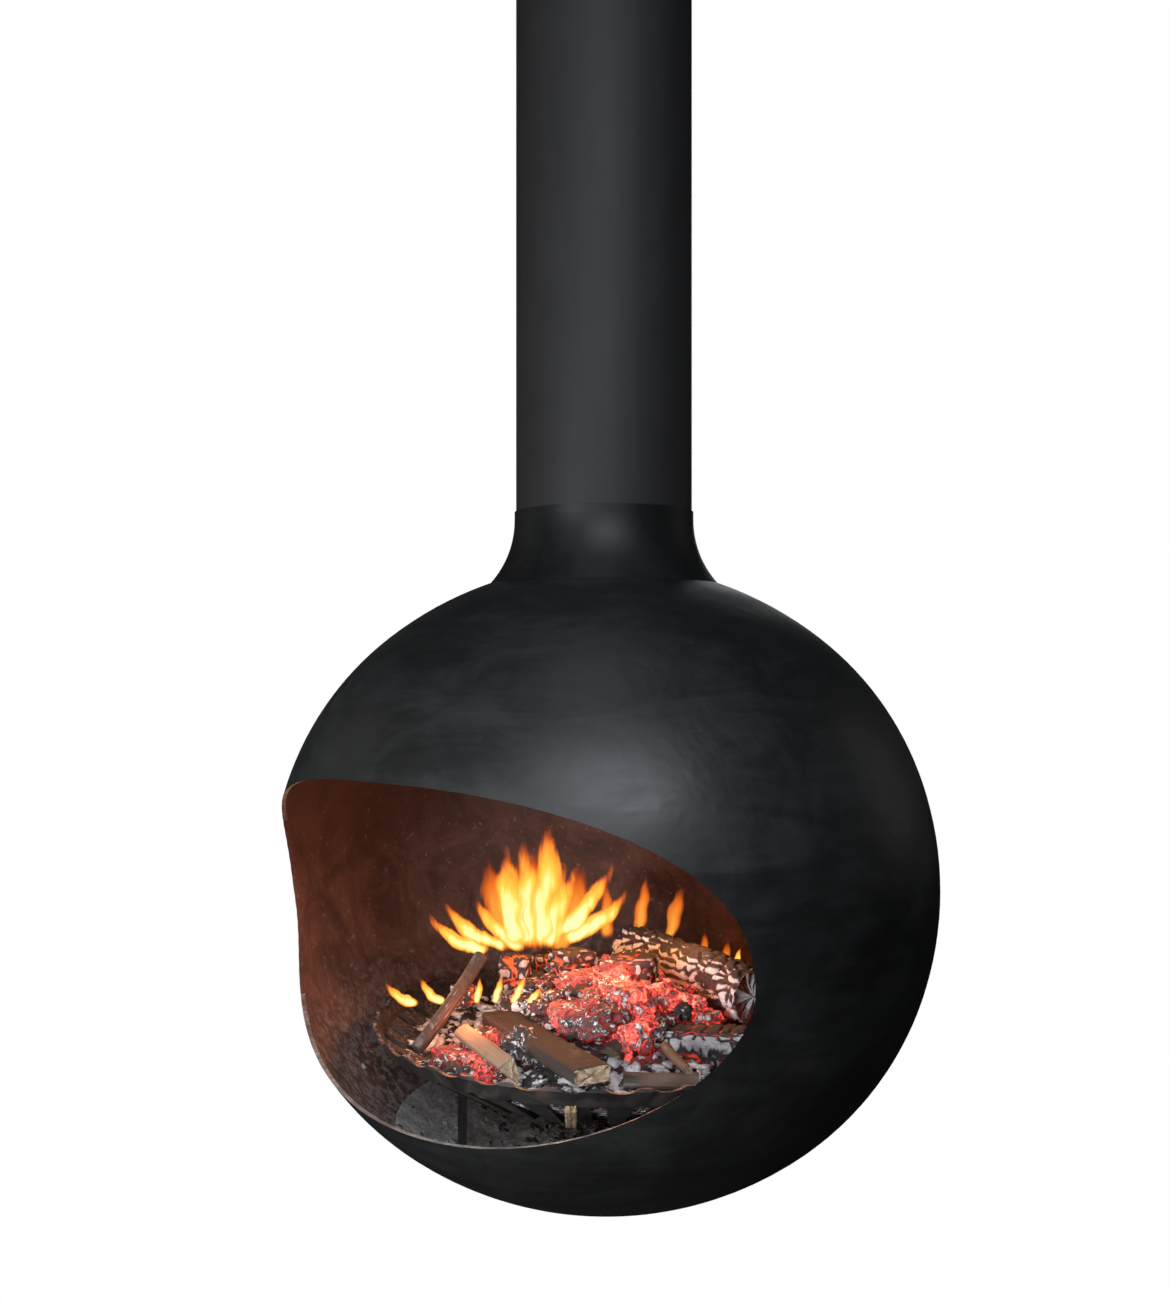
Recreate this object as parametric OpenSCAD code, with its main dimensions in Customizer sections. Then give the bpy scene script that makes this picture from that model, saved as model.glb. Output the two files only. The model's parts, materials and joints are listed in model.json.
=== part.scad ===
// Suspended chiminea: a hollow steel fire globe with a wide open mouth, hung from the
// ceiling by its own flue pipe on a ball bearing, with a lift-out fire basket inside.
// Origin: centre of the ceiling plate's top face. Everything hangs below it, the mouth faces -Y.

/* [Globe] */
// Outside diameter of the globe at its seam
globe_d = 755; // [752:1:760]
// Thickness of the globe's steel
globe_wall = 4; // [3:0.5:5]
// Distance from the ceiling down to the globe's centre
globe_drop = 1380; // [1340:10:1700]

/* [Mouth] */
// Width of the mouth
mouth_w = 646; // [560:2:660]
// Height of the mouth above its widest line
mouth_up = 181; // [150:1:185]
// Height of the mouth below its widest line
mouth_down = 170; // [150:1:175]
// Squareness of the mouth's upper outline: 2 is an ellipse
mouth_power_up = 2.35; // [2:0.05:3]
// Squareness of the mouth's lower outline
mouth_power_down = 2.1; // [2:0.05:3]
// How far the mouth's axis passes below the globe's centre
mouth_lower = 19.5; // [0:0.5:20]
// Downward tilt of the mouth's axis
mouth_tilt = 4.3; // [0:0.1:6]

/* [Flue] */
// Bore of the flue pipe
flue_bore = 200; // [199:0.5:201]
// Thickness of the flue pipe's steel
flue_wall = 2; // [1.5:0.5:2]
// Depth of the socket that takes the next flue section
socket_depth = 60; // [40:5:80]
// Radius of the flare at the neck collar's foot
flare_r = 110; // [106:1:114]

/* [Ceiling mount] */
// Diameter of the ceiling plate
plate_d = 400; // [396:1:404]
// Circle of the ceiling anchor holes
anchor_pcd = 360; // [356:1:364]
// Diameter of each ceiling anchor hole
anchor_d = 12; // [10:0.5:14]
// Depth of the cover around the bearing
rose_h = 147; // [140:1:170]
// Number of balls in the swivel bearing
ball_count = 36; // [24:4:40]

/* [Fire basket] */
// Diameter of the basket's rim
basket_d = 530; // [526:1:534]
// How far the rim lies below the globe's centre
basket_rim_drop = 160; // [158:1:165]
// Number of slots, and of dips in the rim
slot_count = 36; // [30:1:36]
// Width of each slot
slot_w = 16; // [10:1:18]
// Depth of each dip in the rim
dip_depth = 5; // [3:0.5:6]
// Direction of the first leg
first_leg = -118; // [-125:1:-110]

/* [Hidden] */
$fn = 96;

far = 600;

// Globe and mouth
globe_r = globe_d / 2;
zc = -globe_drop;
mouth_steps = 72;
profile_steps = 40;

// The globe's profile: side, shoulder and crown arcs that run smoothly into each other
side_r = 370;
side_angle = 17.5;
shoulder_r = 338.5;
shoulder_angle = 51.6;
side_c = [globe_r - side_r, 0];
shoulder_c = side_c + (side_r - shoulder_r) * [cos(side_angle), sin(side_angle)];
crown_r = shoulder_r + shoulder_c[0] / cos(shoulder_angle);
crown_c = [0, shoulder_c[1] - shoulder_c[0] * tan(shoulder_angle)];

// Flue pipe and neck
pipe_ri = flue_bore / 2;
pipe_r = pipe_ri + flue_wall;
pipe_top = -28;
pipe_bottom = zc + 340;
hub_ri = pipe_r + 0.1;
hub_r = hub_ri + 6.3;
hub_low = 334;
hub_high = 370;
crown_hole_r = hub_r + 0.1;
collar_ri = pipe_r + 0.3;
collar_wall = 1.5;
collar_top = 421;
flare_z = 412;
flare_x = collar_ri + collar_wall + flare_r;
neck_screw_z = 354;
neck_screw_r = 4;
neck_screw_count = 6;

// Ceiling plate, drum and rose
plate_r = plate_d / 2;
plate_t = 8;
drum_ri = 134;
drum_r = 138;
drum_low = -108;
ledge_top = -100;
drum_flange_r = 166;
drum_flange_t = 5;
drum_screw_ring = 152;
rose_r = 212;
rose_wall = 1.5;
rose_top = -3;
rose_gap = 0.2;
bracket_angles = [30, 150, 210, 330];
bracket_low = -40;
rose_screw_z = -28;

// Spigot
spigot_r = 96.5;
spigot_ri = 94.5;
spigot_low = -120;
spigot_flange_r = 128;
spigot_flange_t = 3;
spigot_screw_ring = 115;
socket_ri = 100.5;
socket_r = 102.5;
socket_floor = 5;

// Swivel bearing
race_ri = 112.5;
race_r = 131.5;
ball_ring = 122;
ball_r = 5;
groove_r = 5.4;
lower_groove_z = -90;
ball_z = lower_groove_z - groove_r + ball_r + 0.02;
upper_groove_z = ball_z + ball_r + 0.3 - groove_r;
race_top = -81;
flange_t = 8;
flange_hub_r = 107;
flange_hub_top = -35;
flange_screw_z = -56;
flange_screw_r = 3;

// Damper
spindle_z = 404;
spindle_r = 4;
damper_r = 96;
damper_t = 3;
damper_screw_x = 40;
eye_drop = 75;
eye_ring = 12;
eye_wire = 2.5;

// Fire basket, heights from the globe's centre
rim_r = basket_d / 2;
rim_z = -basket_rim_drop;
sheet = 4;
floor_r = 176;
floor_z = rim_z - 62;
knee_r = rim_r - 15;
knee_z = rim_z - 18;
slot_in = 170;
slot_out = 246;
dip_r = 30;
slot_pitch = 360 / slot_count;
leg_ring = 172;
leg_w = 18;
leg_t = 5;
ash_top = -325;
clear = 0.5;

// ---- helpers ----

// Copies children around the Z axis
module ring_of(count, radius, start = 0)
    for (i = [0 : count - 1])
        rotate([0, 0, start + i * 360 / count]) translate([radius, 0, 0]) children();

// A revolved rectangle
module hoop(r_in, r_out, low, high)
    rotate_extrude() translate([r_in, low]) square([r_out - r_in, high - low]);

// A screw along +X from the origin: its shank lies on -X, its head on +X
module screw_x(r, length, head_r, head_h) {
    rotate([0, -90, 0]) cylinder(r = r, h = length);
    rotate([0, 90, 0]) cylinder(r = head_r, h = head_h);
}

// A screw with its head hanging below the origin and its shank going up
module screw_up(r, length, head_r, head_h) {
    cylinder(r = r, h = length);
    translate([0, 0, -head_h]) cylinder(r = head_r, h = head_h);
}

// A point at angle t of an outline that is an ellipse at n = 2 and squarer above that
function superellipse(a, b, n, t) = [
    a * sign(cos(t)) * pow(abs(cos(t)), 2 / n),
    b * sign(sin(t)) * pow(abs(sin(t)), 2 / n)];

// Lays children, drawn along +Z from the origin, from point a towards point b
module along(a, b, roll = 0) {
    d = b - a;
    translate(a) rotate([0, acos(d[2] / norm(d)), atan2(d[1], d[0])]) rotate([0, 0, roll])
        children();
}

// ---- ceiling mount ----

module ceiling_plate()
    color([0.55, 0.56, 0.57])
    difference() {
        translate([0, 0, -plate_t]) cylinder(r = plate_r, h = plate_t);
        translate([0, 0, -plate_t - 1]) cylinder(r = socket_r + 1, h = plate_t + 2);
        ring_of(6, anchor_pcd / 2)
            translate([0, 0, -plate_t - 1]) cylinder(d = anchor_d, h = plate_t + 2);
        ring_of(6, drum_screw_ring, 30)
            translate([0, 0, -plate_t - 1]) cylinder(r = 4, h = plate_t - 1);
        ring_of(4, spigot_screw_ring, 45)
            translate([0, 0, -plate_t - 1]) cylinder(r = 2.5, h = plate_t - 1);
    }

module support_drum()
    color([0.5, 0.51, 0.52])
    difference() {
        union() {
            hoop(drum_ri, drum_r, ledge_top, -plate_t);
            hoop(race_ri - 0.5, drum_r, drum_low, ledge_top);
            hoop(drum_ri, drum_flange_r, -plate_t - drum_flange_t, -plate_t);
        }
        ring_of(6, drum_screw_ring, 30)
            translate([0, 0, -plate_t - drum_flange_t - 1]) cylinder(r = 4, h = plate_t);
    }

module drum_screws()
    color([0.7, 0.7, 0.72])
    ring_of(6, drum_screw_ring, 30)
        translate([0, 0, -plate_t - drum_flange_t])
            screw_up(4, drum_flange_t + plate_t - 2, 6.5, 5);

module lower_race()
    color([0.75, 0.76, 0.78])
    rotate_extrude() difference() {
        translate([race_ri, ledge_top])
            square([race_r - race_ri, lower_groove_z - 1 - ledge_top]);
        translate([ball_ring, lower_groove_z]) circle(r = groove_r);
    }

module bearing_balls()
    color([0.85, 0.86, 0.88])
    ring_of(ball_count, ball_ring) translate([0, 0, ball_z]) sphere(r = ball_r);

module flue_spigot()
    color([0.62, 0.63, 0.64])
    difference() {
        rotate_extrude() polygon([
            [spigot_ri, spigot_low], [spigot_r, spigot_low],
            [spigot_r, -plate_t - spigot_flange_t], [spigot_flange_r, -plate_t - spigot_flange_t],
            [spigot_flange_r, -plate_t], [spigot_r, -plate_t], [spigot_r, 0], [socket_r, 0],
            [socket_r, socket_floor + socket_depth], [socket_ri, socket_floor + socket_depth],
            [socket_ri, socket_floor], [spigot_ri, socket_floor]]);
        ring_of(4, spigot_screw_ring, 45)
            translate([0, 0, -plate_t - spigot_flange_t - 1]) cylinder(r = 2.5, h = plate_t);
    }

module spigot_screws()
    color([0.7, 0.7, 0.72])
    ring_of(4, spigot_screw_ring, 45)
        translate([0, 0, -plate_t - spigot_flange_t])
            screw_up(2.5, spigot_flange_t + plate_t - 2.5, 4.5, 3);

// Angle brackets under the plate's edge that the rose is screwed to
module rose_brackets()
    color([0.6, 0.6, 0.6])
    for (a = bracket_angles) rotate([0, 0, a]) difference() {
        union() {
            translate([185, -12, -plate_t - 2]) cube([rose_r - rose_wall - 0.5 - 185, 24, 2]);
            translate([rose_r - rose_wall - 2.5, -12, bracket_low])
                cube([2, 24, -plate_t - bracket_low]);
        }
        translate([rose_r - 10, 0, rose_screw_z]) rotate([0, 90, 0]) cylinder(r = 2, h = 20);
    }

module rose_shell()
    difference() {
        union() {
            hoop(rose_r - rose_wall, rose_r, rose_top - rose_h, rose_top);
            hoop(pipe_r + 2.5, rose_r - rose_wall / 2, rose_top - rose_h,
                rose_top - rose_h + rose_wall);
        }
        for (a = bracket_angles) rotate([0, 0, a])
            translate([rose_r - 10, 0, rose_screw_z]) rotate([0, 90, 0]) cylinder(r = 2, h = 20);
    }

module ceiling_rose_front()
    color([0.07, 0.07, 0.07])
    difference() {
        rose_shell();
        translate([-far, -rose_gap, -far]) cube([2 * far, far, 2 * far]);
    }

module ceiling_rose_rear()
    color([0.07, 0.07, 0.07])
    difference() {
        rose_shell();
        translate([-far, rose_gap - far, -far]) cube([2 * far, far, 2 * far]);
    }

module rose_screws()
    color([0.1, 0.1, 0.1])
    for (a = bracket_angles) rotate([0, 0, a])
        translate([rose_r, 0, rose_screw_z]) screw_x(2, 6, 4, 2.5);

// ---- swivelling globe ----

module upper_race()
    color([0.75, 0.76, 0.78])
    rotate_extrude() difference() {
        translate([race_ri, upper_groove_z + 1])
            square([race_r - race_ri, race_top - upper_groove_z - 1]);
        translate([ball_ring, upper_groove_z]) circle(r = groove_r);
    }

// Carries the pipe on the upper race
module bearing_flange()
    color([0.5, 0.51, 0.52])
    difference() {
        union() {
            hoop(pipe_r + 0.05, race_r - 0.5, race_top, race_top + flange_t);
            hoop(pipe_r + 0.05, flange_hub_r, race_top, flange_hub_top);
        }
        ring_of(6, flange_hub_r, 30)
            translate([10, 0, flange_screw_z]) rotate([0, -90, 0])
                cylinder(r = flange_screw_r, h = 30);
    }

module flange_screws()
    color([0.7, 0.7, 0.72])
    ring_of(6, flange_hub_r, 30)
        translate([0, 0, flange_screw_z])
            screw_x(flange_screw_r, flange_hub_r - pipe_ri - 0.1, 5, 4);

// Three turns of fibre rope that seal the pipe against the fixed spigot
module rope_seal()
    color([0.85, 0.83, 0.78])
    for (i = [0 : 2]) translate([0, 0, -36 - 4 * i])
        rotate_extrude() translate([(spigot_r + pipe_ri) / 2 + 0.15, 0]) circle(r = 1.5);

module flue_pipe()
    color([0.06, 0.06, 0.06])
    difference() {
        hoop(pipe_ri, pipe_r, pipe_bottom, pipe_top);
        ring_of(6, pipe_r, 30)
            translate([10, 0, flange_screw_z]) rotate([0, -90, 0])
                cylinder(r = flange_screw_r, h = 20);
        ring_of(neck_screw_count, pipe_r, 15)
            translate([10, 0, zc + neck_screw_z]) rotate([0, -90, 0])
                cylinder(r = neck_screw_r, h = 20);
        translate([-far / 2, 0, zc + spindle_z]) rotate([0, 90, 0])
            cylinder(r = spindle_r + 0.05, h = far);
    }

// The flared cover at the foot of the pipe, which sits on the globe
module neck_collar()
    color([0.06, 0.06, 0.06])
    translate([0, 0, zc]) rotate_extrude() difference() {
        union() {
            translate([collar_ri, flare_z]) square([collar_wall, collar_top - flare_z]);
            intersection() {
                translate([collar_ri, 0]) square([flare_r, flare_z]);
                difference() {
                    translate([flare_x, flare_z]) circle(r = flare_r + collar_wall);
                    translate([flare_x, flare_z]) circle(r = flare_r);
                }
                translate([collar_ri, flare_z - flare_r]) square([40, flare_r + 1]);
            }
        }
        upper_outline(-0.1);
    }

// Ring welded into the globe's crown, which the pipe stands in
module neck_hub()
    color([0.3, 0.3, 0.3])
    translate([0, 0, zc]) difference() {
        hoop(hub_ri, hub_r, hub_low, hub_high);
        ring_of(neck_screw_count, hub_r, 15)
            translate([10, 0, neck_screw_z]) rotate([0, -90, 0])
                cylinder(r = neck_screw_r, h = 20);
    }

module neck_screws()
    color([0.6, 0.6, 0.62])
    translate([0, 0, zc]) ring_of(neck_screw_count, hub_r, 15)
        translate([0, 0, neck_screw_z]) screw_x(neck_screw_r, hub_r - pipe_ri - 0.1, 5.5, 2.5);

// A point of the globe's profile where its face leans at the given angle
function profile_point(angle, inset) =
    angle < side_angle ? side_c + (side_r - inset) * [cos(angle), sin(angle)]
    : angle < shoulder_angle ? shoulder_c + (shoulder_r - inset) * [cos(angle), sin(angle)]
    : crown_c + (crown_r - inset) * [cos(angle), sin(angle)];

// The filled outline of the globe above its seam, set in from its outer face
module upper_outline(inset)
    polygon(concat([[0, 0]], [for (i = [0 : profile_steps])
        profile_point(i * 90 / profile_steps, inset)]));

// The mouth's outline as a prism along the mouth's axis
module mouth_prism()
    rotate([90 + mouth_tilt, 0, 0]) translate([0, -mouth_lower, 0])
        linear_extrude(height = far)
            polygon([for (i = [0 : mouth_steps - 1])
                i < mouth_steps / 2
                    ? superellipse(mouth_w / 2, mouth_up, mouth_power_up, i * 360 / mouth_steps)
                    : superellipse(mouth_w / 2, mouth_down, mouth_power_down,
                        i * 360 / mouth_steps)]);

// Half of the globe: side is 0 for the upper half and 1 for the lower
module half_globe(side)
    translate([0, 0, zc]) difference() {
        mirror([0, 0, side]) rotate_extrude() difference() {
            upper_outline(0);
            upper_outline(globe_wall);
        }
        mouth_prism();
        cylinder(r = crown_hole_r, h = far);
    }

module globe_upper()
    color([0.08, 0.08, 0.08]) half_globe(0);

module globe_lower()
    color([0.08, 0.08, 0.08]) half_globe(1);

module ash_bed()
    color([0.5, 0.49, 0.47])
    translate([0, 0, zc]) difference() {
        mirror([0, 0, 1]) rotate_extrude() upper_outline(globe_wall + 0.1);
        translate([-far, -far, ash_top]) cube(2 * far);
    }

// ---- damper ----

module damper_spindle()
    color([0.35, 0.35, 0.35])
    translate([0, 0, zc + spindle_z]) difference() {
        translate([-pipe_r, 0, 0]) rotate([0, 90, 0]) cylinder(r = spindle_r, h = 2 * pipe_r);
        for (x = [-damper_screw_x, damper_screw_x])
            translate([x, 10, 0]) rotate([90, 0, 0]) cylinder(r = 2, h = 20);
    }

module damper_plate()
    color([0.2, 0.2, 0.2])
    translate([0, 0, zc + spindle_z]) difference() {
        translate([0, spindle_r + damper_t, 0]) rotate([90, 0, 0])
            cylinder(r = damper_r, h = damper_t);
        for (x = [-damper_screw_x, damper_screw_x])
            translate([x, 20, 0]) rotate([90, 0, 0]) cylinder(r = 2, h = 30);
    }

module damper_screws()
    color([0.6, 0.6, 0.62])
    for (x = [-damper_screw_x, damper_screw_x])
        translate([x, spindle_r + damper_t, zc + spindle_z])
            rotate([0, 0, 90]) screw_x(2, 10, 3.5, 2.5);

// A poker hooks this half ring to turn the damper
module damper_eye()
    color([0.35, 0.35, 0.35])
    translate([0, spindle_r, zc + spindle_z - eye_drop]) difference() {
        rotate([0, 90, 0]) rotate_extrude() translate([eye_ring, 0]) circle(r = eye_wire);
        translate([-far, 0, -far]) cube(2 * far);
    }

// ---- fire basket ----

// One slot of the basket, as a flat outline along +X
module slot_outline()
    union() {
        translate([slot_in, -slot_w / 2]) square([slot_out - slot_in, slot_w]);
        translate([slot_in, 0]) circle(d = slot_w);
        translate([slot_out, 0]) circle(d = slot_w);
    }

module basket_bowl()
    color([0.1, 0.1, 0.1])
    translate([0, 0, zc]) difference() {
        rotate_extrude() polygon([
            [0, floor_z - sheet], [floor_r + 1.2, floor_z - sheet],
            [knee_r + 2.9, knee_z - 3], [rim_r, rim_z - 3], [rim_r, rim_z],
            [rim_r - sheet, rim_z], [rim_r - sheet, rim_z - 2], [knee_r, knee_z],
            [floor_r, floor_z], [0, floor_z]]);
        for (i = [0 : slot_count - 1])
            rotate([0, 0, first_leg + (i + 0.5) * slot_pitch])
                translate([0, 0, floor_z - 20]) linear_extrude(height = 100) slot_outline();
        for (i = [0 : slot_count - 1])
            rotate([0, 0, first_leg + i * slot_pitch])
                translate([knee_r, 0, rim_z - dip_depth + dip_r]) rotate([0, 90, 0])
                    cylinder(r = dip_r, h = 40);
    }

module basket_legs()
    color([0.1, 0.1, 0.1])
    translate([0, 0, zc]) intersection() {
        ring_of(4, leg_ring, first_leg)
            translate([-leg_t / 2, -leg_w / 2, -far]) cube([leg_t, leg_w, far + floor_z - sheet]);
        mirror([0, 0, 1]) rotate_extrude() upper_outline(globe_wall + 0.3);
    }

// ---- fuel, all in the basket: points are from the globe's centre ----

module back_log(grow = 0)
    color([0.2, 0.19, 0.18])
    translate([0, 0, zc]) along([-50, 120, -115], [165, 65, -128])
        translate([0, 0, -grow]) cylinder(r = 36 + grow, h = 222 + 2 * grow);

module split_plank(grow = 0)
    color([0.25, 0.2, 0.16])
    translate([0, 0, zc]) along([-70, -105, -155], [160, -215, -147])
        translate([-9 - grow, -22 - grow, -grow])
            cube([18 + 2 * grow, 44 + 2 * grow, 250 + 2 * grow]);

module split_billet(grow = 0)
    color([0.72, 0.55, 0.36])
    translate([0, 0, zc]) along([-66, -158, -162], [54, -210, -164])
        translate([0, 0, -grow]) linear_extrude(height = 126 + 2 * grow)
            polygon([[-18 - grow, -2 - grow], [8 + grow, -14 - grow], [13 + grow, 11 + grow],
                [8, 12 + grow]]);

module leaning_stick(grow = 0)
    color([0.35, 0.25, 0.18])
    translate([0, 0, zc]) along([-90, -213, -170], [-86, -115, -85])
        translate([0, 0, -grow]) cylinder(r = 9 + grow, h = 130 + 2 * grow);

module charred_slab(grow = 0)
    color([0.3, 0.31, 0.33])
    translate([0, 0, zc]) along([123, -46, -160], [207, -14, -156])
        translate([-20 - grow, -22 - grow, -grow])
            cube([40 + 2 * grow, 44 + 2 * grow, 90 + 2 * grow]);

module stub_log(grow = 0)
    color([0.33, 0.24, 0.18])
    translate([0, 0, zc]) along([80, -30, -148], [104, -122, -163])
        translate([0, 0, -grow]) cylinder(r = 13 + grow, h = 96 + 2 * grow);

module front_log(grow = 0)
    color([0.4, 0.27, 0.18])
    translate([0, 0, zc]) along([148, -158, -167], [209, -112, -167])
        translate([0, 0, -grow]) cylinder(r = 10 + grow, h = 76 + 2 * grow);

module thin_stick(grow = 0)
    color([0.38, 0.25, 0.18])
    translate([0, 0, zc]) along([156, -96, -147], [219, -146, -145])
        translate([0, 0, -grow]) cylinder(r = 7 + grow, h = 82 + 2 * grow);

// Charred lumps, each as [centre, size, turn]
lumps = [
    [[-90, -52, -116], [34, 28, 40], 20],
    [[-122, -108, -138], [26, 22, 26], 55],
    [[-30, -20, -104], [46, 38, 34], 75],
    [[38, 8, -104], [52, 36, 32], 15],
    [[20, -62, -128], [44, 30, 28], 40],
    [[-95, 20, -122], [48, 34, 30], 100]];

module charcoal(grow = 0)
    color([0.12, 0.11, 0.11])
    translate([0, 0, zc]) for (lump = lumps)
        translate(lump[0]) rotate([0, 0, lump[2]])
            cube(lump[1] + [2, 2, 2] * grow, center = true);

// Embers and ash heaped in the bowl, with room for the wood that lies on them
module ember_bed()
    color([0.75, 0.3, 0.12])
    difference() {
        translate([0, 0, zc]) rotate_extrude() polygon([
            [0, floor_z + clear], [floor_r - clear, floor_z + clear], [236, -184], [190, -178],
            [150, -160], [110, -140], [60, -124], [0, -118]]);
        back_log(clear);
        split_plank(clear);
        split_billet(clear);
        leaning_stick(clear);
        charred_slab(clear);
        stub_log(clear);
        front_log(clear);
        thin_stick(clear);
        charcoal(clear);
    }

ceiling_plate();
support_drum();
drum_screws();
lower_race();
bearing_balls();
flue_spigot();
spigot_screws();
rose_brackets();
ceiling_rose_front();
ceiling_rose_rear();
rose_screws();
upper_race();
bearing_flange();
flange_screws();
rope_seal();
flue_pipe();
neck_collar();
neck_hub();
neck_screws();
globe_upper();
globe_lower();
ash_bed();
damper_spindle();
damper_plate();
damper_screws();
damper_eye();
basket_bowl();
basket_legs();
ember_bed();
back_log();
split_plank();
split_billet();
leaning_stick();
charred_slab();
stub_log();
front_log();
thin_stick();
charcoal();
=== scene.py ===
import json
import math

import bmesh
import bpy
import numpy as np
from mathutils import Matrix, Vector, noise
from mathutils.bvhtree import BVHTree


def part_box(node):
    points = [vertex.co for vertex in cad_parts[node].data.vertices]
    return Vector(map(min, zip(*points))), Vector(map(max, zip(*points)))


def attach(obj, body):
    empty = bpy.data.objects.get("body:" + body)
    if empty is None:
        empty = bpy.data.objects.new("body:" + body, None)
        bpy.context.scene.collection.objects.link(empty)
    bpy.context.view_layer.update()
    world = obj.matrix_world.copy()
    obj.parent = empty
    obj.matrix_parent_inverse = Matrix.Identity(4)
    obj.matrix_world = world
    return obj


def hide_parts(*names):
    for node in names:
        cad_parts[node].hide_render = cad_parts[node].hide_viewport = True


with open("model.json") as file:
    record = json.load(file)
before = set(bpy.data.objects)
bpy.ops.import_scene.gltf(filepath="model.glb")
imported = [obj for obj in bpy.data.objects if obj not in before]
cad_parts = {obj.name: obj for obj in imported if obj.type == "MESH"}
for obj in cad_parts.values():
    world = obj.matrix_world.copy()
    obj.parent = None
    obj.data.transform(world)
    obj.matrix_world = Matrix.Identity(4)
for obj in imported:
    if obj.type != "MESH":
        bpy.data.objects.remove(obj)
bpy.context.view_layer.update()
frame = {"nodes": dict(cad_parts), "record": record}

# ---- places read from the frame, in metres ----

GLOBE_LOW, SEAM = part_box("globe_lower")
CENTRE = Vector((0, 0, SEAM.z))
BED_LOW, BED_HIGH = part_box("ember_bed")
ASH_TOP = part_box("ash_bed")[1].z

# ---- view ----

AZIMUTH = math.radians(39.05)
RIGHT = Vector((math.cos(AZIMUTH), math.sin(AZIMUTH), 0))
TOWARD = Vector((math.sin(AZIMUTH), -math.cos(AZIMUTH), 0))
UP = Vector((0, 0, 1))
CAMERA_DISTANCE = 1.5
CAMERA_RISE = 0.2617
CAMERA_LEFT = 0.022
LENS = 35.7
SENSOR_WIDTH = 36
VIEW_END = 60


def place(right, toward, up):
    """A point given from the globe's centre: rightwards, nearer and up, as seen from the front."""
    return CENTRE + RIGHT * right + TOWARD * toward + UP * up


def seen(right, up, toward=0.0):
    """A point at the given depth that looks as far right and up as one straight above the centre."""
    nearer = 1 - toward / CAMERA_DISTANCE
    return place(right * nearer, toward, CAMERA_RISE - (CAMERA_RISE - up) * nearer)


def make_camera():
    data = bpy.data.cameras.new("camera")
    data.lens = LENS
    data.sensor_width = SENSOR_WIDTH
    data.clip_end = VIEW_END
    camera = bpy.data.objects.new("camera", data)
    camera.location = place(-CAMERA_LEFT, CAMERA_DISTANCE, CAMERA_RISE)
    camera.rotation_euler = (math.pi / 2, 0, AZIMUTH)
    bpy.context.scene.collection.objects.link(camera)
    bpy.context.scene.camera = camera


make_camera()

# ---- node helpers ----


class Paint:
    """A material's node tree, with short calls for the nodes used here."""

    def __init__(self, name):
        self.material = bpy.data.materials.new(name)
        self.material.use_nodes = True
        self.nodes = self.material.node_tree.nodes
        self.links = self.material.node_tree.links
        self.shader = self.nodes["Principled BSDF"]
        self.output = self.nodes["Material Output"]

    def node(self, kind, **inputs):
        made = self.nodes.new(kind)
        for key, value in inputs.items():
            self.put(made.inputs[key.replace("_", " ")], value)
        return made

    def put(self, socket, value):
        if isinstance(value, bpy.types.NodeSocket):
            self.links.new(value, socket)
        elif isinstance(value, tuple) and socket.type == "RGBA" and len(value) == 3:
            socket.default_value = (*value, 1)
        else:
            socket.default_value = value

    def set(self, **inputs):
        for key, value in inputs.items():
            self.put(self.shader.inputs[key.replace("_", " ")], value)

    def place(self):
        return self.node("ShaderNodeTexCoord").outputs["Object"]

    def surface(self, name):
        """One of the numbers kept at each point: how far it is raised, or its heat."""
        split = self.node("ShaderNodeSeparateXYZ", Vector=self.uv("surface"))
        return split.outputs["X" if name == "raised" else "Y"]

    def uv(self, name):
        made = self.node("ShaderNodeUVMap")
        made.uv_map = name
        return made.outputs["UV"]

    def stretch(self, vector, scale):
        made = self.node("ShaderNodeMapping")
        self.put(made.inputs["Vector"], vector)
        made.inputs["Scale"].default_value = scale
        return made.outputs["Vector"]

    def noise(self, vector, scale, detail=4.0, rough=0.55, distort=0.0):
        made = self.node("ShaderNodeTexNoise", Vector=vector, Scale=scale, Detail=detail,
                         Roughness=rough, Distortion=distort)
        return made.outputs["Fac"]

    def cells(self, vector, scale, feature="F1", output="Distance"):
        made = self.nodes.new("ShaderNodeTexVoronoi")
        made.feature = feature
        self.put(made.inputs["Vector"], vector)
        made.inputs["Scale"].default_value = scale
        return made.outputs[output]

    def math(self, operation, a, b=0.0, clamp=False):
        made = self.nodes.new("ShaderNodeMath")
        made.operation = operation
        made.use_clamp = clamp
        self.put(made.inputs[0], a)
        self.put(made.inputs[1], b)
        return made.outputs[0]

    def vector_math(self, operation, a, b=(0, 0, 0), output="Vector"):
        made = self.nodes.new("ShaderNodeVectorMath")
        made.operation = operation
        self.put(made.inputs[0], a)
        self.put(made.inputs[1], b)
        return made.outputs[output]

    def step(self, value, low, high, out_low=0.0, out_high=1.0):
        """A smooth ramp of value from low to high."""
        made = self.nodes.new("ShaderNodeMapRange")
        made.interpolation_type = "SMOOTHSTEP"
        for index, number in enumerate((value, low, high, out_low, out_high)):
            self.put(made.inputs[index], number)
        return made.outputs[0]

    def ramp(self, value, *stops):
        made = self.nodes.new("ShaderNodeValToRGB")
        self.put(made.inputs[0], value)
        elements = made.color_ramp.elements
        while len(elements) < len(stops):
            elements.new(0.5)
        for element, (at, colour) in zip(elements, stops):
            element.position = at
            element.color = (*colour, 1)
        return made.outputs["Color"]

    def mix(self, amount, a, b):
        made = self.nodes.new("ShaderNodeMix")
        made.data_type = "RGBA"
        self.put(made.inputs[0], amount)
        self.put(made.inputs[6], a)
        self.put(made.inputs[7], b)
        return made.outputs[2]

    def bump(self, height, strength, distance, normal=None):
        made = self.node("ShaderNodeBump", Height=height, Strength=strength, Distance=distance)
        if normal is not None:
            self.put(made.inputs["Normal"], normal)
        return made.outputs["Normal"]


# ---- materials ----


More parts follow.
